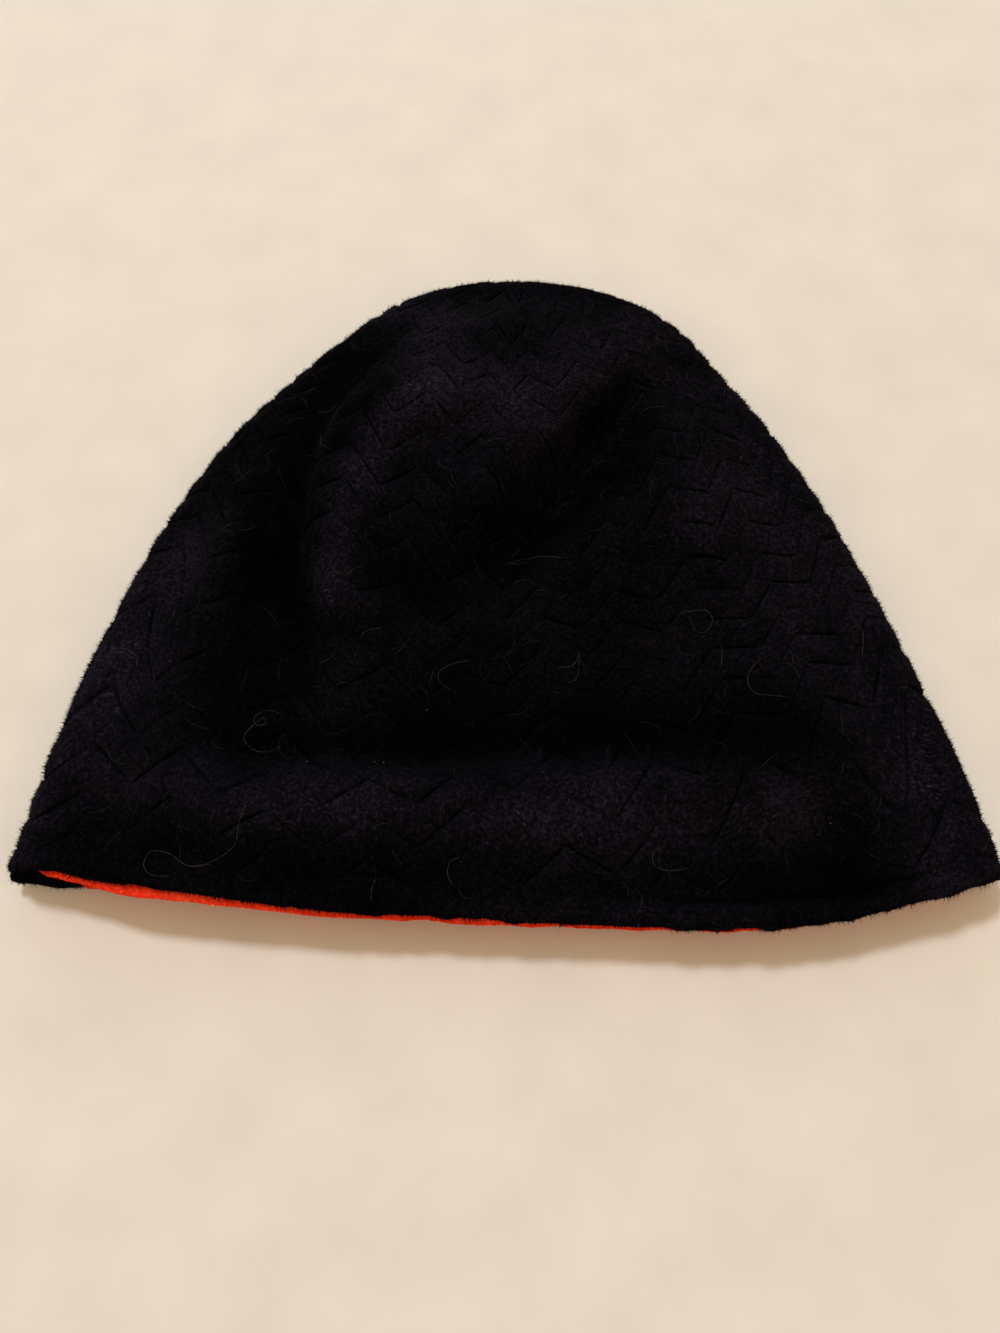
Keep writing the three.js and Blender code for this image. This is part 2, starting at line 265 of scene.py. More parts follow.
# Loose hairs on the hat, as places in millimetres from the middle of its width and from its rim
HAIRS = [
    [(-70, 32), (-71.5, 25.6), (-72.4, 20.3), (-78, 16.6), (-85, 15.2), (-91, 18.7), (-96.3, 19.3),
     (-98, 16), (-95.5, 13.1), (-90, 12.8)],
    [(-66, 61), (-69.5, 61.8), (-72.5, 59.5), (-72, 56.8), (-69.5, 57.5), (-70, 59.5), (-73.5, 56),
     (-75, 52.5), (-72, 49.5), (-68.4, 48.9), (-64.6, 50.4)],
    [(-0.5, 168.6), (2.1, 165.8), (2.8, 161.9), (2.1, 158)],
    [(43.8, 161.1), (47.8, 162.7), (51.7, 162.3)],
    [(6.2, 111), (12.2, 109.6), (19.2, 107.9)],
    [(50.8, 90.2), (55, 90.8), (59.7, 90.5), (61.3, 87.2), (59.3, 84.3), (56.4, 85.3), (55.2, 89.2)],
    [(74.2, 74.5), (71, 71.6), (69.8, 67.9), (71.8, 64.5), (76, 63.3), (80.5, 62.4)],
    [(15.7, 74.1), (20.1, 74.8), (22, 78.2), (21.2, 71.3), (18.8, 69.5)],
    [(63, 79.8), (63.4, 77.3), (63, 72.9)],
    [(-10.2, 76.7), (-16, 75.1), (-19.4, 72.6), (-18.8, 69.5), (-15.8, 67)],
    [(-117.3, 80.5), (-112.8, 80.2), (-108.7, 77.6), (-107.9, 73.8)],
    [(-12.2, 18.2), (-14.9, 16.8), (-15.7, 13.6), (-14, 10.4)],
    [(-34.9, 12.8), (-36.1, 9.4), (-36.2, 6.2)],
    [(43.3, 20.9), (40.5, 19.5), (40.6, 16.3), (44.2, 14.7), (49.6, 15.2)],
    [(105.2, 88.5), (107, 84.6), (105.6, 78.2)],
    [(-59.2, 155), (-58.1, 147.4), (-53.6, 141.4)],
    [(-42.5, 81.4), (-40.3, 84), (-36.3, 85.3)],
]
SPECKS = [(-56.3, 45.7), (-37.1, 45.7), (-34.5, 45.4), (90.4, 27.8), (74.8, 143.8), (-22.5, 60.8)]
SPECK_SIZE = 0.22
HAIR_RADIUS = 0.019
HAIR_LIFT = 0.9
LINT_LIFT = 0.7
LINT_COUNT = 300
LINT_RADII = (0.014, 0.028)
LINT_HALF_LENGTHS = (1.2, 4.2)

# The pile's fibres: their number, the least share and range of their length and width, and how they
# tilt, lean and are rooted
PILE_COUNT = 49000
FIBRE_LENGTHS = (0.55, 0.6)
FIBRE_WIDTHS = (0.6, 0.6)
FIBRE_TILT = 0.55
BRUSHED_FLAT = 3.2
FIBRE_ROOT = 0.15
FLOOR_CLEARANCE = 0.1

# How short fibres are beside a groove and at the sewn edge, and how far away they are full
ROOM_IN_GROOVE = 0.15
ROOM_REACH = 3.0
ROOM_AT_SEAM = 0.25
SEAM_ROOM_ENDS = (1, 9)

# A fibre's lightness, painted into its colour: the least and its range, a random tone, and how much lighter
# the rare bright ones are, as painted glints
GLINT_LEAST = 0.35
GLINT_RANGE = 0.5
GLINT_RARE = 5.0
GLINT_RARITY = 8

# A fringe: its spread at the rim and the sewn edge, its weight and lean at the rim, and its clumps
RIM_FRINGE = 1.2
SEAM_FRINGE = 2.0
RIM_FRINGE_SHARE = 1.6
RIM_FRINGE_LEAN = (0, -2.2, -0.2)
RIM_FRINGE_FADE = 0.04
CLUMP_LEAST = 0.35
CLUMP_RANGE = 1.1
CLUMP_POWER = 1.5

# The crown's height in the row frame fixes where the rim line lies
CROWN_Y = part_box("outer_front")[1][1] / MM
RIM_Y = CROWN_Y - LENGTH

# Mesh rows along the hem and the crown, in millimetres from each end. Other rows keep a gap to them,
# and a small spacing where they close up. The inside takes every fourth row and column.
HEM_PLACES = [0, 0.25, 0.6, 1.1, 1.8, 2.7, 3.8, 5.0, 6.0, 6.6, 7.0, 7.4, 8.0, 9.0]
CROWN_PLACES = [3.6, 2.7, 1.9, 1.2, 0.7, 0.3, 0.1]
CLOSED_UP = 0.02
HEM_GAP = 0.6
CROWN_GAP = 0.5
INSIDE_STEP = 4

# Mesh rows from one groove to the next, in millimetres from the lower one, the grooves laid out
# below the rim, and the columns over a side's roll
FINE_ROWS = [-0.9, -0.45, -0.2, 0.0, 0.2, 0.45, 0.9, 2.4, 4.3, 6.1, 7.9, 9.8]
PLAIN_ROWS = [-0.8, -0.3, 0.0, 0.3, 0.8, 2.8, 5.2, 7.6, 9.8]
GROOVES_BELOW = 3
FINE_ROLL_COLUMNS = 10
PLAIN_ROLL_COLUMNS = 6

# How often a span is halved to find a place in it, and a length too small to divide by
HALVINGS = 26
TINY = 1e-9


def curve_of(places, values):
    """A smooth curve through a table's column, free of bend at both ends."""
    last = len(places) - 1

    def at(where):
        where = np.clip(where, places[0], places[-1])
        low = np.clip(np.searchsorted(places, where, side="right") - 1, 0, last - 1)
        high = low + 1
        run = places[high] - places[low]
        before = np.where(low == 0, high, low - 1)
        after = np.where(high == last, low, np.minimum(high + 1, last))
        pull = 0.5 * run / (places[low] - places[before])
        push = 0.5 * run / (places[after] - places[high])
        p = (where - places[low]) / run
        p2, p3 = p**2, p**3
        return (
            (-pull * p3 + 2 * pull * p2 - pull * p) * values[before]
            + ((1 + pull) * p3 - (1.5 + 2 * pull) * p2 + (pull - 0.5) * p + 1) * values[low]
            + ((-1 - push) * p3 + (1.5 + push) * p2 + 0.5 * p) * values[high]
            + (push * p3 - push * p2) * values[after]
        )

    return at


def turn(up):
    """The angle of a height share on an arch, which makes the crown come out round."""
    return np.arcsin(np.clip(up, -1, 1))


arch = turn(SECTIONS[:, 0])
half_curve, shift_curve, crest_curve = (curve_of(arch, column) for column in SECTIONS.T[1:])
lift_at, back_at, peek_at, open_at = (curve_of(RIM[:, 0], column) for column in RIM.T[1:])


def half_at(up):
    return half_curve(turn(up))


def smoothstep(value, low, high):
    share = np.clip((value - low) / (high - low), 0, 1)
    return share * share * (3 - 2 * share)


def rim_curve(u, up):
    return RIM_LIFT * lift_at(u) * (1 - up) ** 2


def halved(low, high, is_before):
    """The place between low and high up to which is_before holds."""
    for _ in range(HALVINGS):
        middle = (low + high) / 2
        before = is_before(middle)
        low = np.where(before, middle, low)
        high = np.where(before, high, middle)
    return (low + high) / 2


def edge_distance(u, up):
    """The distance from a place on the flat hat to its sewn edge."""
    side = HALF_WIDTH * half_at(up) * (1 - np.abs(u))
    target = half_at(up) * np.abs(u)
    start = np.array(up, dtype=float)
    above = halved(start, np.ones_like(start), lambda share: half_at(share) > target)
    rise = LENGTH * (above - up) + rim_curve(np.sign(u), above) - rim_curve(u, up)
    return np.where(side > TINY, side * rise / np.maximum(np.hypot(side, rise), TINY), 0)


def fold_line(fold):
    """A fold's curve as points, in millimetres."""
    _, start, bend, end, _, _ = fold
    t = np.linspace(0, 1, FOLD_STEPS + 1)[:, None]
    share = (1 - t) ** 2 * np.array(start) + 2 * t * (1 - t) * np.array(bend) + t * t * np.array(end)
    return share * np.array([HALF_WIDTH, LENGTH])


def line_distance(points, x, y):
    nearest = np.full(np.shape(x), np.inf)
    for start, end in zip(points[:-1], points[1:]):
        run = end - start
        along = ((x - start[0]) * run[0] + (y - start[1]) * run[1]) / (run @ run)
        along = np.clip(along, 0, 1)
        gap = np.hypot(x - start[0] - along * run[0], y - start[1] - along * run[1])
        nearest = np.minimum(nearest, gap)
    return nearest


def fold_height(x, y):
    height = np.zeros(np.shape(x))
    for fold in FOLDS:
        spread = fold[5] * HALF_WIDTH
        height += FOLD_RISE * fold[4] * np.exp(-((line_distance(fold_line(fold), x, y) / spread) ** 2))
    return height


def tone_and_painted_light_at(x, y):
    """The painted light and shade of the table above, with the pile's random tone, as a factor on its
    colour.
    """
    tone_and_painted_light = np.ones(np.shape(x))
    for patch in PAINTED_LIGHT_AND_SHADE:
        near = np.exp(-((line_distance(fold_line(patch), x, y) / (patch[5] * HALF_WIDTH)) ** 2))
        tone_and_painted_light = tone_and_painted_light * (1 + patch[4] * near)
    tousled = np.sin(x / 6.1 + 2.2 * np.sin(y / 9.7 + x / 23)) * np.sin(y / 4.6 + 1.9 * np.sin(x / 11.3))
    smudged = np.sin(x / 15.3 + 1.4 * np.sin(y / 12.1) + 0.7) * np.sin(y / 10.9 - x / 31)
    return tone_and_painted_light * (1 + TOUSLED * tousled + SMUDGED * smudged)


def step_height(x, y):
    """How far the sharp steps lift the cloth on one side and drop it on the other."""
    height = np.zeros(np.shape(x))
    for step in STEPS:
        points = fold_line(step)
        index = np.argmin([np.hypot(x - px, y - py) for px, py in points], axis=0)
        nearest = points[index]
        heading = np.gradient(points, axis=0)[index]
        heading = heading / np.linalg.norm(heading, axis=-1, keepdims=True)
        side = heading[..., 0] * (y - nearest[..., 1]) - heading[..., 1] * (x - nearest[..., 0])
        span = points[-1] - points[0]
        middle = points[FOLD_STEPS // 2]
        past = np.abs((x - middle[0]) * span[0] + (y - middle[1]) * span[1]) / (span @ span)
        distance = line_distance(points, x, y)
        near = (1 - smoothstep(past, *STEP_ENDS)) * np.exp(-((distance / STEP_REACH) ** 2))
        height += step[4] * near * np.tanh(np.sign(side) * distance / step[5])
    return height


def plan(u, up, reach):
    """Where a place on a panel lies in plan. reach says how far its rim stands past the front's.
    Towards the crown the cloth is drawn in, because its pile stands out past it."""
    x = HALF_WIDTH * (shift_curve(turn(up)) + u * half_at(up))
    fade = np.clip(1 - up * LENGTH / (2 * HEM), 0, None)
    drawn_in = CROWN_DRAW * smoothstep(up, *CROWN_DRAW_ENDS)
    return x, LENGTH * up + rim_curve(u, up) - fade * reach - drawn_in


def face(u, up, front, reach):
    """The outer face of the front or back half of the hat, before any relief."""
    x, y = plan(u, up, reach)
    edge = edge_distance(u, up)
    flat = 1 - np.minimum(1, edge / SIDE_ROLL)
    rolled = np.sqrt(1 - flat**2)
    if not front:
        return np.stack([x, y, SEAM_HEIGHT * (1 - rolled)], axis=-1)
    shoulder = smoothstep(edge, 0, SHOULDER)
    opening = MOUTH_OPENING * open_at(u) * np.clip(1 - up * LENGTH / MOUTH_REACH, 0, None) ** 2
    folds = FOLD_GAIN * fold_height(x, y) + step_height(x, y)
    full = RIM_HEIGHT + shoulder * (CREST_RISE * crest_curve(turn(up)) + folds) + opening
    seam = SEAM_HEIGHT + SEAM_GAP
    return np.stack([x, y, seam + (full - seam) * rolled], axis=-1)


def row_bend(u, up):
    """How far out a place is from where its row is level, how steeply rows climb there, and by which
    power."""
    higher = smoothstep(up, *ROW_BEND_ENDS)
    out = u - ROW_LEVEL_AT * (1 - smoothstep(up, *ROW_LEVEL_ENDS))
    bend = ROW_BEND_LOW + (ROW_BEND_HIGH - ROW_BEND_LOW) * higher
    power = ROW_POWER_LOW + (ROW_POWER_HIGH - ROW_POWER_LOW) * higher
    return out, bend * np.where(out < 0, ROW_BEND_LEFT, 1), power


def zig_step(u, up):
    """The place along a zigzag row, counted in half periods. It leans where the rows climb."""
    out, bend, power = row_bend(u, up)
    slope = np.sign(out) * bend * np.abs(out) ** (power - 1)
    x = HALF_WIDTH * (shift_curve(turn(up)) + u * half_at(up))
    leaning = ROW_LEAN * slope * (LENGTH * up - ROW_LEAN_FROM)
    return (x + leaning - ZIG_PHASE) / ZIG_HALF_PERIOD


def zigzag(u, up):
    """The zigzag's height at a place across, peak to valley over ZIG_HEIGHT."""
    return ZIG_HEIGHT * (np.abs(zig_step(u, up) % 2 - 1) - 0.5)


def row_sway(u, up):
    """How the rows wander up and down, in millimetres."""
    return 1.1 * np.sin(u * 5.1 + up * 7.3) + 0.8 * np.sin(u * 9.7 - up * 13.1 + 1.2)


def cloth_row(u, up):
    """The cloth's own height above the rim. The rows bend up towards the sewn sides."""
    out, bend, power = row_bend(u, up)
    tilt = ROW_TILT * out * (1 - smoothstep(up, *ROW_LEVEL_ENDS))
    rise = half_at(up) * bend * np.abs(out) ** power / power + tilt
    rise = rise + ROW_UPPER_TILT * u * smoothstep(up, *ROW_UPPER_ENDS)
    return LENGTH * up - HALF_WIDTH * rise + row_sway(u, up)


def row_levels(fine):
    """Levels of the mesh rows over the body, close together on both sides of each groove."""
    offsets = np.array(FINE_ROWS if fine else PLAIN_ROWS)
    grooves = np.arange(-GROOVES_BELOW, math.ceil((LENGTH + ZIG_HEIGHT) / ZIG_SPACING))
    return (ROW_PHASE + grooves[:, None] * ZIG_SPACING + offsets).ravel()


def column_places(columns, rolled_columns):
    """Places across, from -1 to 1, close together where the sides roll."""
    rolled = SIDE_ROLL / HALF_WIDTH
    angle = np.linspace(0, math.pi / 2, rolled_columns, endpoint=False)
    side = 1 - rolled * (1 - np.cos(angle))
    middle = np.linspace(-(1 - rolled), 1 - rolled, columns - 2 * rolled_columns + 1)
    return np.concatenate([-side, middle, side[::-1]])


def row_heights(u, fine):
    """Height shares of the mesh rows in each column: the hem, rows along the zigzag, the crown.
    Where the zigzag runs out at the hem or the crown, its rows close up to a narrow strip."""
    hem = np.array(HEM_PLACES)[:, None] / LENGTH
    crown = 1 - np.array(CROWN_PLACES)[:, None] / LENGTH
    levels = row_levels(fine)
    spare = (len(hem) + len(levels) + len(crown) - 1) % INSIDE_STEP
    levels = levels[: len(levels) - spare][:, None]

    def under_level(share):
        return cloth_row(u, share) - zigzag(u, share) < levels

    start = np.zeros((len(levels), u.shape[1]))
    reached = halved(start, np.ones_like(start), under_level)
    order = np.arange(len(levels))[:, None]
    floor = hem[-1] + (HEM_GAP + CLOSED_UP * order) / LENGTH
    roof = crown[0] - (CROWN_GAP + CLOSED_UP * order[::-1]) / LENGTH
    ends = np.ones_like(u)
    return np.concatenate([hem * ends, np.clip(reached, floor, roof), crown * ends])


def grid_normals(points, front):
    """Outward directions of a grid of points whose sides are mirrored in the seam."""
    seam = SEAM_HEIGHT + (SEAM_GAP if front else 0)
    mirror = np.array([1, 1, -1])
    left = points[:, 1:2] * mirror + np.array([0, 0, 2 * seam])
    right = points[:, -2:-1] * mirror + np.array([0, 0, 2 * seam])
    wide = np.concatenate([left, points, right], axis=1)
    across = wide[:, 2:] - wide[:, :-2]
    along = np.gradient(points, axis=0)
    normals = np.cross(across, along) * (1 if front else -1)
    return normals / np.maximum(np.linalg.norm(normals, axis=-1, keepdims=True), TINY)


def groove_place(u, up):
    """The nearest groove's number, and how far a place lies from it along the cloth's height."""
    place = (cloth_row(u, up) - zigzag(u, up) - ROW_PHASE) / ZIG_SPACING
    groove = np.round(place)
    return groove, (place - groove) * ZIG_SPACING


def chance(first, second):
    """A repeatable chance value from 0 to 1 for two whole numbers."""
    mixed = np.sin(first * 12.9898 + second * 78.233) * 43758.5453
    return mixed - np.floor(mixed)


def stroke_strength(u, up, stroke, row):
    """How firmly a stroke of the zigzag is pressed in, which differs from stroke to stroke and along
    each one."""
    own = STROKE_LEAST + STROKE_RANGE * smoothstep(chance(stroke, row), 0.0, 0.7)
    along = np.sin(up * 61 + 3 * np.sin(u * 17)) * np.sin(u * 43 + 2)
    return own * (0.75 + 0.35 * along)


def groove_relief(u, up):
    """The emboss over the cloth, narrow grooves with soft pillows of pile between them, and how deep
    in a groove a place lies, from 0 to about 1."""
    number, from_groove = groove_place(u, up)
    step = zig_step(u, up)
    to_corner = np.abs(step - np.round(step)) * ZIG_HALF_PERIOD
    gap = 1 - CORNER_GAP * np.exp(-((to_corner / CORNER_GAP_REACH) ** 2))
    strength = gap * stroke_strength(u, up, np.floor(step), number)
    groove = strength * np.exp(-((from_groove / GROOVE_HALF_WIDTH) ** 2))
    pillow = 1 - np.exp(-((from_groove / PILLOW_REACH) ** 2))
    return PILLOW_HEIGHT * pillow - GROOVE_DEPTH * groove, groove


def smooth_noise(shape, seed, passes):
    """Seeded noise over a grid, softened by a few passes of averaging."""
    noise = np.random.default_rng(seed).normal(size=shape)
    for _ in range(passes):
        for axis in (0, 1):
            noise = (noise + np.roll(noise, 1, axis) + np.roll(noise, -1, axis)) / 3
    return noise / noise.std()


def mesh_object(name, points, triangles, material, smooth=True, tone_and_painted_light=None):
    """An object from points in millimetres and triangles, with a factor on its colour for random tone and
    painted light.
    """
    mesh = bpy.data.meshes.new(name)
    mesh.vertices.add(len(points))
    mesh.vertices.foreach_set("co", (points * MM).astype(np.float32).ravel())
    mesh.loops.add(3 * len(triangles))
    mesh.loops.foreach_set("vertex_index", triangles.astype(np.int32).ravel())
    mesh.polygons.add(len(triangles))
    mesh.polygons.foreach_set("loop_start", np.arange(0, 3 * len(triangles), 3, dtype=np.int32))
    mesh.polygons.foreach_set("use_smooth", np.full(len(triangles), smooth))
    mesh.update(calc_edges=True)
    mesh.validate()
    lightness = mesh.attributes.new("tone_and_painted_light", "FLOAT", "POINT")
    values = np.ones(len(points)) if tone_and_painted_light is None else tone_and_painted_light
    lightness.data.foreach_set("value", values.astype(np.float32))
    mesh.materials.append(material)
    made = bpy.data.objects.new(name, mesh)
    bpy.context.scene.collection.objects.link(made)
    return made


def layer_triangles(rows, columns, pole, offset, turned):
    """Triangles of a grid of rows and columns closed at the crown by one point."""
    row, column = np.meshgrid(np.arange(rows - 1), np.arange(columns - 1), indexing="ij")
    corner = (row * columns + column).ravel() + offset
    quads = [(corner, corner + 1, corner + columns + 1), (corner, corner + columns + 1, corner + columns)]
    triangles = np.concatenate([np.stack(quad, axis=1) for quad in quads])
    last = (rows - 1) * columns + np.arange(columns - 1) + offset
    fan = np.stack([last, last + 1, np.full(columns - 1, pole)], axis=1)
    triangles = np.concatenate([triangles, fan])
    return triangles[:, ::-1] if turned else triangles


def border_loop(rows, columns, step):
    """The border's places as (row, column), once round from the left end of the rim."""
    rim = [(0, column) for column in range(0, columns, step)]
    right = [(row, columns - 1) for row in range(step, rows, step)]
    left = [(row, 0) for row in range(rows - 1, 0, -step)]
    return rim + right + [None] + left


def closed_sheet(outside, inside, step, front):
    """Points and triangles of a sheet with a fine outside and an inside that has every step-th row
    and column. Each is a grid of points with its crown point."""
    fine, fine_crown = outside
    coarse, coarse_crown = inside
    rows, columns = fine.shape[:2]
    small_rows, small_columns = coarse.shape[:2]
    fine_count = rows * columns + 1
    points = np.concatenate([
        fine.reshape(-1, 3), [fine_crown], coarse.reshape(-1, 3), [coarse_crown],
    ])
    pole = fine_count - 1
    inner_pole = len(points) - 1
    triangles = [layer_triangles(rows, columns, pole, 0, False)]
    triangles.append(layer_triangles(small_rows, small_columns, inner_pole, fine_count, True))

    def fine_at(place):
        return pole if place is None else place[0] * columns + place[1]

    def coarse_at(place):
        if place is None:
            return inner_pole
        return fine_count + place[0] // step * small_columns + place[1] // step

    loop = border_loop(rows, columns, step)
    strip = []
    for index, here in enumerate(loop):
        following = loop[(index + 1) % len(loop)]
        path = between(here, following)
        for a, b in zip(path[:-1], path[1:]):
            strip.append((fine_at(a), coarse_at(here), fine_at(b)))
        strip.append((coarse_at(here), coarse_at(following), fine_at(following)))
    triangles.append(np.array(strip))
    triangles = np.concatenate(triangles)
    return points, triangles if front else triangles[:, ::-1]


def between(here, following):
    """Every place on the fine border from one coarse place to the next."""
    if here is None or following is None:
        return [here, following]
    steps = max(abs(following[0] - here[0]), abs(following[1] - here[1]))
    return list(np.linspace(here, following, steps + 1).astype(int))


def rim_rounding(above):
    """How much a rim is rounded off, from 1 at its edge to 0."""
    return np.clip(1 - above / ROUNDING_REACH, 0, 1) ** 2


def hem_relief(u, above):
    """The turned hem: it swells a little, and on the right a crease runs along its stitching."""
    shown = smoothstep(u, *HEM_SHOWS_FROM) * (1 - smoothstep(u, *HEM_SHOWS_TO))
    swell = np.where(above < HEM, HEM_SWELL * np.sin(np.pi * np.clip(above / HEM, 0, 1)), 0)
    crease = HEM_CREASE * np.exp(-(((above - HEM) / HEM_CREASE_WIDTH) ** 2))
    return shown * (swell - crease) - TURNED_ROUNDING * rim_rounding(above)


def placed(points):
    """Points of the flat hat moved to the row frame."""
    return points + np.array([0, RIM_Y, 0])


def panel(name, material, front, depth, wall, reach_at, columns, fine, relief, hem, seed):
    """One cloth panel. Returns the object and its outside: points, outward directions and places."""
    outermost = depth == 0
    u = column_places(columns, FINE_ROLL_COLUMNS if fine else PLAIN_ROLL_COLUMNS)[None, :]
    up = row_heights(u, fine)
    u = np.broadcast_to(u, up.shape)
    above = up * LENGTH
    points = face(u, up, front, reach_at(u))
    points[..., 1] -= ragged(above, u.shape[1], seed)
    if outermost and not front:
        points[..., 2] += end_curl(u, above)
    normals = grid_normals(points, front)
    over_hem = smoothstep(above, *HEM_TO_ZIGZAG)
    spaced = np.clip(np.gradient(above, axis=0) / TUFT_ROW_GAP, 0, 1)
    tufts = TUFT_HEIGHT * spaced * smooth_noise(up.shape, seed, 1)
    emboss, in_groove = groove_relief(u, up)
    raised = relief * (emboss * over_hem + tufts)
    raised = raised + (hem_relief(u, above) if hem else -PLAIN_ROUNDING * rim_rounding(above))
    if outermost and not front:
        raised = raised * (1 - smoothstep(edge_distance(u, up), 1, SIDE_ROLL))
    if not outermost:
        raised = np.minimum(raised, LAYER_GAP / 2)
    ease = 0 if outermost else LINING_EASE
    depths = depth + ease * smoothstep(above, *LINING_EASE_ENDS)
    outside = points + normals * (raised - depths)[..., None]
    inside = (points - normals * (depths + wall)[..., None])[::INSIDE_STEP, ::INSIDE_STEP]
    crown = face(np.array([0.0]), np.array([1.0]), front, np.array([0.0]))[0]
    inward = np.array([0.0, -1.0, 0.0])
    crown_out = crown + inward * np.max(depths)
    crown_in = crown_out + inward * wall
    mesh_points, triangles = closed_sheet((outside, crown_out), (inside, crown_in), INSIDE_STEP, front)
    tone_and_painted_light = np.ones(len(mesh_points))
    if front and outermost:
        # The colour factor: random tone, painted light and shade, and painted shade in the grooves
        tone_and_painted_shade = tone_and_painted_light_at(outside[..., 0], outside[..., 1]) * (1 - GROOVE_PAINTED_SHADE * in_groove * over_hem)
        tone_and_painted_light[: tone_and_painted_shade.size] = tone_and_painted_shade.ravel()
    made = mesh_object(name, placed(mesh_points), triangles, material, tone_and_painted_light=tone_and_painted_light)
    return made, (outside, normals, (u, up))


def ragged(above, columns, seed):
    """Tufts that make a rim uneven, strongest at its edge."""
    tufts = RAGGED_TUFTS * smooth_noise((1, columns), seed, 1)
    waves = RAGGED_WAVES * smooth_noise((1, columns), seed + 100, 9)
    return (tufts + waves) * np.clip(1 - above / RAGGED_REACH, 0, 1)


def back_reach(u):
    """The back panel's rim shows as a tongue at the left end of the mouth and hides beyond it."""
    past_tongue = smoothstep(u, *TONGUE_ENDS)
    extra = TONGUE_REACH + (BEYOND_TONGUE_REACH - TONGUE_REACH) * past_tongue
    return BACK_STEP * back_at(u) + extra


def lining_reach(u):
    """The front lining shows under the rim, but not at the very end, where the rim is pinched."""
    shown = LINING_PEEK * peek_at(u) + FRONT_PEEK * smoothstep(u, *FRONT_PEEK_STARTS)
    return shown - PINCH_HIDES * (1 - smoothstep(u, *PINCH_ENDS))


def lining_back_reach(u):
    """The back lining shows as a second lip, but not on the tongue."""
    return back_reach(u) + BACK_PEEK - BACK_HIDES * (1 - smoothstep(u, *BACK_PEEK_STARTS))


def end_curl(u, above):
    """The back panel's rim curls up at the left end of the mouth."""
    place = smoothstep(u, *CURL_STARTS) * (1 - smoothstep(u, *CURL_ENDS))
    return CURL_HEIGHT * place * np.clip(1 - above / CURL_REACH, 0, 1)


def node_tree(name):
    material = bpy.data.materials.new(name)
    material.use_nodes = True
    nodes = material.node_tree.nodes
    nodes.clear()
    output = nodes.new("ShaderNodeOutputMaterial")
    shader = nodes.new("ShaderNodeBsdfPrincipled")
    material.node_tree.links.new(shader.outputs["BSDF"], output.inputs["Surface"])
    return material, nodes, material.node_tree.links, shader


def noise_node(nodes, links, coordinates, scale, detail, stretch=None):
    noise = nodes.new("ShaderNodeTexNoise")
    noise.inputs["Scale"].default_value = scale
    noise.inputs["Detail"].default_value = detail
    source = coordinates
    if stretch:
        mapping = nodes.new("ShaderNodeMapping")
        mapping.inputs["Scale"].default_value = stretch
        links.new(coordinates, mapping.inputs["Vector"])
        source = mapping.outputs["Vector"]
    links.new(source, noise.inputs["Vector"])
    return noise.outputs["Fac"]


def ramp_node(nodes, links, source, stops):
    ramp = nodes.new("ShaderNodeValToRGB")
    elements = ramp.color_ramp.elements
    for index, (place, colour) in enumerate(stops):
        element = elements[index] if index < 2 else elements.new(place)
        element.position = place
        element.color = (*colour, 1)
    links.new(source, ramp.inputs["Fac"])
    return ramp.outputs["Color"]


def bump_node(nodes, links, height, strength, distance, before=None):
    bump = nodes.new("ShaderNodeBump")
    bump.inputs["Strength"].default_value = strength
    bump.inputs["Distance"].default_value = distance
    links.new(height, bump.inputs["Height"])
    if before:
        links.new(before, bump.inputs["Normal"])
    return bump.outputs["Normal"]


def plush(name, dark, middle, bright, sheen, sheen_tint, bump_mm):
    """Short-pile plush: flecked colour scaled by the mesh's random tone and painted light and shade, a soft
    sheen, and the pile as fine and broad bump."""
    material, nodes, links, shader = node_tree(name)
    place = nodes.new("ShaderNodeTexCoord").outputs["Object"]
    tufts = noise_node(nodes, links, place, 900, 4)
    strokes = noise_node(nodes, links, place, 420, 3, (1.0, 0.45, 1.0))
    patches = noise_node(nodes, links, place, 28, 3)
    mixed = nodes.new("ShaderNodeMath")
    mixed.operation = "MULTIPLY_ADD"
    links.new(patches, mixed.inputs[0])
    mixed.inputs[1].default_value = 0.5
    links.new(tufts, mixed.inputs[2])
    scaled = nodes.new("ShaderNodeMath")
    scaled.operation = "MULTIPLY"
    links.new(mixed.outputs[0], scaled.inputs[0])
    scaled.inputs[1].default_value = 0.667
    colour = ramp_node(nodes, links, scaled.outputs[0], [(0.3, dark), (0.72, bright), (0.5, middle)])
    tone_and_painted_light = nodes.new("ShaderNodeAttribute")
    tone_and_painted_light.attribute_name = "tone_and_painted_light"
    lit = nodes.new("ShaderNodeVectorMath")
    lit.operation = "SCALE"
    links.new(colour, lit.inputs[0])
    links.new(tone_and_painted_light.outputs["Fac"], lit.inputs["Scale"])
    links.new(lit.outputs["Vector"], shader.inputs["Base Color"])
    shader.inputs["Roughness"].default_value = 0.92
    shader.inputs["Specular IOR Level"].default_value = 0.02
    shader.inputs["Sheen Weight"].default_value = sheen
    shader.inputs["Sheen Roughness"].default_value = 0.3
    shader.inputs["Sheen Tint"].default_value = (*sheen_tint, 1)
    fine = bump_node(nodes, links, tufts, 0.8, bump_mm * MM)
    broad = bump_node(nodes, links, strokes, 0.7, 2.2 * bump_mm * MM, fine)
    links.new(broad, shader.inputs["Normal"])
    return material


def plain_material(name, colour, roughness, variation, scale):
    material, nodes, links, shader = node_tree(name)
    place = nodes.new("ShaderNodeTexCoord").outputs["Object"]
    noise = noise_node(nodes, links, place, scale, 4)
    low = tuple(channel * (1 - variation) for channel in colour)
    high = tuple(min(1, channel * (1 + variation)) for channel in colour)
    links.new(ramp_node(nodes, links, noise, [(0.3, low), (0.7, high)]), shader.inputs["Base Color"])
    shader.inputs["Roughness"].default_value = roughness
    return material


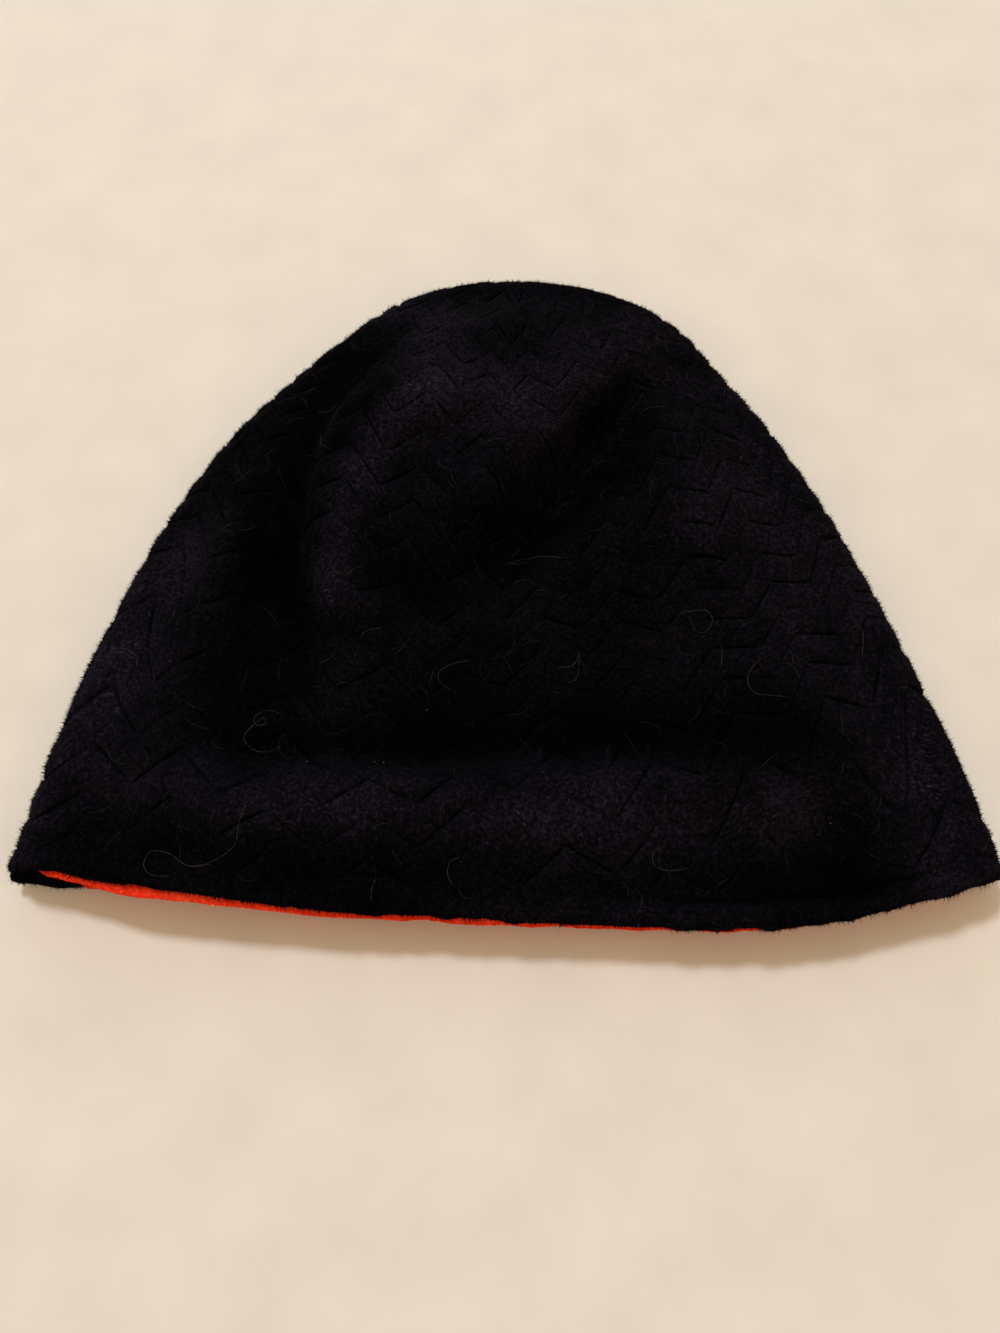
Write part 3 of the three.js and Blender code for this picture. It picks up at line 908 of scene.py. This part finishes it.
def clumped(x, y):
    """Fibres stick together in tufts, so that an edge is ragged."""
    tufts = 0.5 + 0.5 * np.sin(7.9 * x + 2.6 * np.sin(3.1 * y + 1.7 * x)) * np.sin(6.3 * y + 1.1 * x + 1.0)
    return CLUMP_LEAST + CLUMP_RANGE * tufts**CLUMP_POWER


def scattered(random, grid, count, keep):
    """Random cells of a grid, chosen by their area and by keep, and a point in each."""
    across = np.linalg.norm(np.diff(grid, axis=1)[:-1], axis=-1)
    along = np.linalg.norm(np.diff(grid, axis=0)[:, :-1], axis=-1)
    area = across * along * keep[:-1, :-1]
    chances = (area / area.sum()).ravel()
    cells = random.choice(len(chances), size=count, p=chances)
    row, column = np.divmod(cells, grid.shape[1] - 1)
    s, t = random.random((2, count, 1))
    base = (
        grid[row, column] * (1 - s) * (1 - t)
        + grid[row, column + 1] * s * (1 - t)
        + grid[row + 1, column] * (1 - s) * t
        + grid[row + 1, column + 1] * s * t
    )
    return row, column, base


def varied(random, count, limits):
    """A share for each fibre, from the least and the range above it."""
    return limits[0] + limits[1] * random.random((count, 1))


def pile(name, material, sheet, count, length, width, seed, lean, room, keep, with_painted_light=True):
    """Single fibres of the pile: closed three-sided spikes that stand up from the cloth. room gives
    their length as a share, and keep says where on the cloth they stand."""
    grid, normals, _ = sheet
    random = np.random.default_rng(seed)
    row, column, base = scattered(random, grid, count, keep)
    normal = normals[row, column]
    side = np.cross(normal, random.normal(size=(count, 3)))
    side /= np.maximum(np.linalg.norm(side, axis=1, keepdims=True), TINY)
    other = np.cross(normal, side)
    size = length * varied(random, count, FIBRE_LENGTHS) * room(row, column, base)
    heading = normal + lean[row, column] + FIBRE_TILT * random.normal(size=(count, 3))
    tip = base + size * heading / np.linalg.norm(heading, axis=1, keepdims=True)
    tip[:, 2] = np.maximum(tip[:, 2], FLOOR_CLEARANCE)
    radius = width * varied(random, count, FIBRE_WIDTHS)
    foot = base - FIBRE_ROOT * normal
    angles = [2 * math.pi * corner / 3 for corner in range(3)]
    ring = [foot + radius * (math.cos(angle) * side + math.sin(angle) * other) for angle in angles]
    points = np.stack([*ring, tip], axis=1).reshape(-1, 3)
    pattern = np.array([[0, 1, 3], [1, 2, 3], [2, 0, 3], [0, 2, 1]]).ravel()
    triangles = (4 * np.arange(count)[:, None] + pattern).reshape(-1, 3)
    glint = GLINT_LEAST + GLINT_RANGE * random.random(count)
    glint = glint + GLINT_RARE * random.random(count) ** GLINT_RARITY
    # On the front panel the fibres also take the painted light and shade of the table
    if with_painted_light:
        glint = glint * tone_and_painted_light_at(base[:, 0], base[:, 1])
    return mesh_object(name, placed(points), triangles, material, False, np.repeat(glint, 4))


def brushed_lean(x, y):
    """The way that hands have brushed the pile over: swirls, on the whole towards the rim."""
    heading = -1.4 + 1.1 * np.sin(x / 23 + 1.3 * np.sin(y / 31)) + 0.8 * np.sin(y / 17 + x / 41 + 2)
    heading = heading + 0.6 * np.sin(x / 7.3 + y / 11.9) * np.sin(y / 8.1 - x / 13.7)
    return BRUSHED_FLAT * np.stack([np.cos(heading), np.sin(heading), np.zeros_like(x)], axis=-1)


def add_pile(name, sheet, length, width, seed):
    """The pile over the front panel, short beside its grooves and at its sewn edge."""
    grid, _, (u, up) = sheet
    beside_groove = np.clip(np.abs(groove_place(u, up)[1]) / ROOM_REACH, ROOM_IN_GROOVE, 1)
    from_seam = smoothstep(edge_distance(u, up), *SEAM_ROOM_ENDS)
    share = beside_groove * (ROOM_AT_SEAM + (1 - ROOM_AT_SEAM) * from_seam)

    def room(row, column, base):
        return share[row, column][:, None]

    lean = brushed_lean(grid[..., 0], grid[..., 1])
    everywhere = np.ones_like(up)
    made = pile(name, black, sheet, PILE_COUNT, length, width, seed, lean, room, everywhere)
    finish_piece(made, "outer_plush")


def fringe(name, material, sheet, count, length, width, seed, slot, rim_end=1.0):
    """Loose fibres along a panel's rim and its sewn edge, where they show against the ground. rim_end
    is how far across the rim's fibres go."""
    u, up = sheet[2]
    outer = slot == "outer_plush"
    up_to_end = 1 - smoothstep(u, rim_end - RIM_FRINGE_FADE, rim_end)
    at_rim = np.exp(-((LENGTH * up / RIM_FRINGE) ** 2)) * up_to_end
    at_seam = np.exp(-((edge_distance(u, up) / SEAM_FRINGE) ** 2)) if outer else np.zeros_like(up)
    lean = at_rim[..., None] * np.array(RIM_FRINGE_LEAN)
    keep = at_seam + RIM_FRINGE_SHARE * at_rim

    def room(row, column, base):
        return clumped(base[:, :1], base[:, 1:2])

    made = pile(name, material, sheet, count, length, width, seed, lean, room, keep, outer)
    finish_piece(made, slot)


def thread(points, radius, sides):
    """A closed tube through points, tapered to both ends."""
    points = np.array(points, dtype=float)
    tangents = np.gradient(points, axis=0)
    tangents /= np.linalg.norm(tangents, axis=1, keepdims=True)
    up = np.array([0.3, 0.2, 1.0])
    side = np.cross(tangents, up)
    side /= np.linalg.norm(side, axis=1, keepdims=True)
    other = np.cross(tangents, side)
    taper = np.sin(np.linspace(0.15, math.pi - 0.15, len(points))) ** 0.4
    angles = np.arange(sides) * 2 * math.pi / sides
    ring = np.cos(angles)[None, :, None] * side[:, None] + np.sin(angles)[None, :, None] * other[:, None]
    tube = points[:, None] + radius * taper[:, None, None] * ring
    count = len(points)
    verts = np.concatenate([tube.reshape(-1, 3), [points[0], points[-1]]])
    triangles = []
    for step in range(count - 1):
        for k in range(sides):
            a, b = step * sides + k, step * sides + (k + 1) % sides
            triangles += [(a, b, b + sides), (a, b + sides, a + sides)]
    start, end = count * sides, count * sides + 1
    last = (count - 1) * sides
    for k in range(sides):
        triangles.append((start, (k + 1) % sides, k))
        triangles.append((end, last + k, last + (k + 1) % sides))
    return verts, np.array(triangles)


def on_cloth(x, y, lift):
    """A point over the front panel at a place on the flat hat."""
    x = np.asarray(x, dtype=float)
    y = np.asarray(y, dtype=float)

    def across(share):
        return np.clip((x / HALF_WIDTH - shift_curve(turn(share))) / np.maximum(half_at(share), TINY), -1, 1)

    up = halved(np.zeros_like(x), np.ones_like(x), lambda share: plan(across(share), share, 0)[1] < y)
    height = face(across(up), up, True, np.zeros_like(x))[..., 2]
    return np.stack([x, y, height + lift], axis=-1)


def smooth_path(places, per_span):
    """Points along a smooth curve through a few places."""
    places = np.array(places, dtype=float)
    knots = np.arange(len(places), dtype=float)
    at = np.linspace(0, len(places) - 1, per_span * (len(places) - 1) + 1)
    return np.stack([curve_of(knots, places[:, axis])(at) for axis in range(places.shape[1])], axis=-1)


def speck(place, size):
    """A crumb of fluff: a small eight-faced stone."""
    corners = np.array([(1, 0, 0), (-1, 0, 0), (0, 1, 0), (0, -1, 0), (0, 0, 1), (0, 0, -1)])
    faces = [(0, 2, 4), (2, 1, 4), (1, 3, 4), (3, 0, 4), (2, 0, 5), (1, 2, 5), (3, 1, 5), (0, 3, 5)]
    return place + size * corners, np.array(faces)


def add_loose(name, parts, material, smooth=True):
    """Small meshes that lie on the front panel, each of points and triangles, as one piece."""
    first = np.cumsum([0] + [len(points) for points, _ in parts[:-1]])
    points = np.concatenate([points for points, _ in parts])
    triangles = np.concatenate([part[1] + offset for part, offset in zip(parts, first)])
    finish_piece(mesh_object(name, placed(points), triangles, material, smooth), "outer_plush")


def add_hairs():
    """The long loose hairs, which rise and fall a little over the pile."""
    parts = []
    for places in HAIRS:
        path = smooth_path(places, 6)
        lift = HAIR_LIFT + 0.35 * np.sin(np.linspace(0, 7, len(path)))
        parts.append(thread(on_cloth(path[:, 0], path[:, 1], lift), HAIR_RADIUS, 4))
    add_loose("loose_hairs", parts, hair_pale)


def add_lint():
    """Short bits of lint, scattered at random and more thickly towards the rim."""
    random = np.random.default_rng(31)
    parts = []
    for _ in range(LINT_COUNT):
        up = random.random() ** 1.1 * 0.93 + 0.02
        u = random.uniform(-0.95, 0.95)
        middle = np.array(plan(np.array(u), np.array(up), 0))
        heading = random.uniform(0, math.pi)
        size = random.uniform(*LINT_HALF_LENGTHS)
        bow = random.uniform(-0.5, 0.5) * size
        run = np.array([math.cos(heading), math.sin(heading)])
        side = np.array([-run[1], run[0]])
        path = smooth_path([middle - run * size, middle + side * bow, middle + run * size], 4)
        lift = LINT_LIFT + random.uniform(0, 0.5) * np.sin(np.linspace(0, 3, len(path)))
        parts.append(thread(on_cloth(path[:, 0], path[:, 1], lift), random.uniform(*LINT_RADII), 3))
    add_loose("lint", parts, lint_grey)


def add_crumbs():
    """Crumbs of fluff on the pile."""
    parts = [speck(on_cloth(x, y, HAIR_LIFT), SPECK_SIZE) for x, y in SPECKS]
    add_loose("crumbs", parts, hair_pale, False)


def add_floor(material):
    size = 1500.0
    points = np.array([(-size, -size, 0), (size, -size, 0), (size, size, 0), (-size, size, 0)])
    floor = mesh_object("floor", points, np.array([[0, 1, 2], [0, 2, 3]]), material)


def add_light(name, place, size, power, colour):
    """A soft round light that faces the middle of the hat."""
    light = bpy.data.lights.new(name, "AREA")
    light.shape = "DISK"
    light.size = size
    light.energy = power
    light.color = colour
    made = bpy.data.objects.new(name, light)
    bpy.context.scene.collection.objects.link(made)
    made.location = place
    direction = -np.array(place)
    distance = float(np.linalg.norm(direction))
    made.rotation_euler = (
        math.acos(-direction[2] / distance),
        0,
        math.atan2(direction[1], direction[0]) - math.pi / 2,
    )


def add_camera():
    """A phone's main lens, held a forearm's length over the rim and tilted towards the crown."""
    height = 289.3
    behind_middle = 149.1
    left_of_middle = 1.4
    look_down = 68
    camera = bpy.data.cameras.new("camera")
    camera.lens = 27
    camera.sensor_width = 36
    camera.clip_start = 0.01
    made = bpy.data.objects.new("camera", camera)
    bpy.context.scene.collection.objects.link(made)
    made.location = (-left_of_middle * MM, -behind_middle * MM, height * MM)
    made.rotation_euler = (math.radians(90 - look_down), 0, 0)
    bpy.context.scene.camera = made


def set_light():
    world = bpy.data.worlds.new("soft_room")
    world.use_nodes = True
    background = world.node_tree.nodes["Background"]
    background.inputs["Color"].default_value = (1.0, 0.84, 0.57, 1)
    background.inputs["Strength"].default_value = 0.66
    bpy.context.scene.world = world
    add_light("window", (-2.0, 4.0, 6.6), 1.3, 345.0, (0.82, 0.92, 1.0))
    add_light("low_window", (-0.3, 2.7, 1.2), 1.5, 13.0, (0.36, 0.66, 1.0))
    bpy.context.scene.view_settings.view_transform = "Standard"
    bpy.context.scene.view_settings.look = "None"


def add_panel(node, material, slot, **cloth):
    """The cloth that stands for a node, whose solid it hides. Returns its outside."""
    made, outside = panel(node + "_cloth", material, **cloth)
    finish_piece(made, slot, node)
    return outside


def finish_piece(made, slot, *nodes):
    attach(made, "root")
    if nodes:
        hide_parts(*nodes)


black = plush(
    "black_plush",
    dark=(0.0004, 0.0003, 0.0006),
    middle=(0.0022, 0.0017, 0.0030),
    bright=(0.0090, 0.0069, 0.0118),
    sheen=0.010,
    sheen_tint=(0.80, 0.66, 1.00),
    bump_mm=0.5,
)
orange = plush(
    "orange_plush",
    dark=(0.62, 0.015, 0.008),
    middle=(0.86, 0.040, 0.012),
    bright=(0.93, 0.082, 0.026),
    sheen=0.20,
    sheen_tint=(1.0, 0.40, 0.25),
    bump_mm=0.4,
)
hair_pale = plain_material("pale_hair", (0.13, 0.11, 0.10), 0.6, 0.3, 300)
lint_grey = plain_material("grey_lint", (0.050, 0.043, 0.045), 0.7, 0.4, 200)

add_camera()
set_light()
add_floor(plain_material("pale_surface", (0.775, 0.683, 0.612), 0.75, 0.035, 40))

front_sheet = add_panel(
    "outer_front", black, "outer_plush", front=True, depth=0, wall=OUTER_WALL,
    reach_at=np.zeros_like, columns=308, fine=True, relief=1.0, hem=True, seed=11,
)
back_sheet = add_panel(
    "outer_back", black, "outer_plush", front=False, depth=0, wall=OUTER_WALL,
    reach_at=back_reach, columns=160, fine=False, relief=1.0, hem=False, seed=12,
)
lining_sheet = add_panel(
    "lining_front", orange, "lining_plush", front=True, depth=LINING_DEPTH, wall=LINING_WALL,
    reach_at=lining_reach, columns=160, fine=False, relief=0.6, hem=False, seed=13,
)
add_panel(
    "lining_back", orange, "lining_plush", front=False, depth=LINING_DEPTH, wall=LINING_WALL,
    reach_at=lining_back_reach, columns=120, fine=False, relief=0.6, hem=False, seed=14,
)

add_pile("outer_front_pile", front_sheet, length=1.6, width=0.11, seed=21)
add_pile("outer_front_strokes", front_sheet, length=3.0, width=0.14, seed=25)
fringe(
    "outer_front_fringe", black, front_sheet, count=20000, length=1.35, width=0.14, seed=22,
    slot="outer_plush",
)
fringe(
    "outer_back_fringe", black, back_sheet, count=12000, length=1.2, width=0.13, seed=23,
    slot="outer_plush", rim_end=-0.84,
)
fringe(
    "lining_front_fringe", orange, lining_sheet, count=5000, length=0.6, width=0.09, seed=24,
    slot="lining_plush",
)

add_hairs()
add_lint()
add_crumbs()
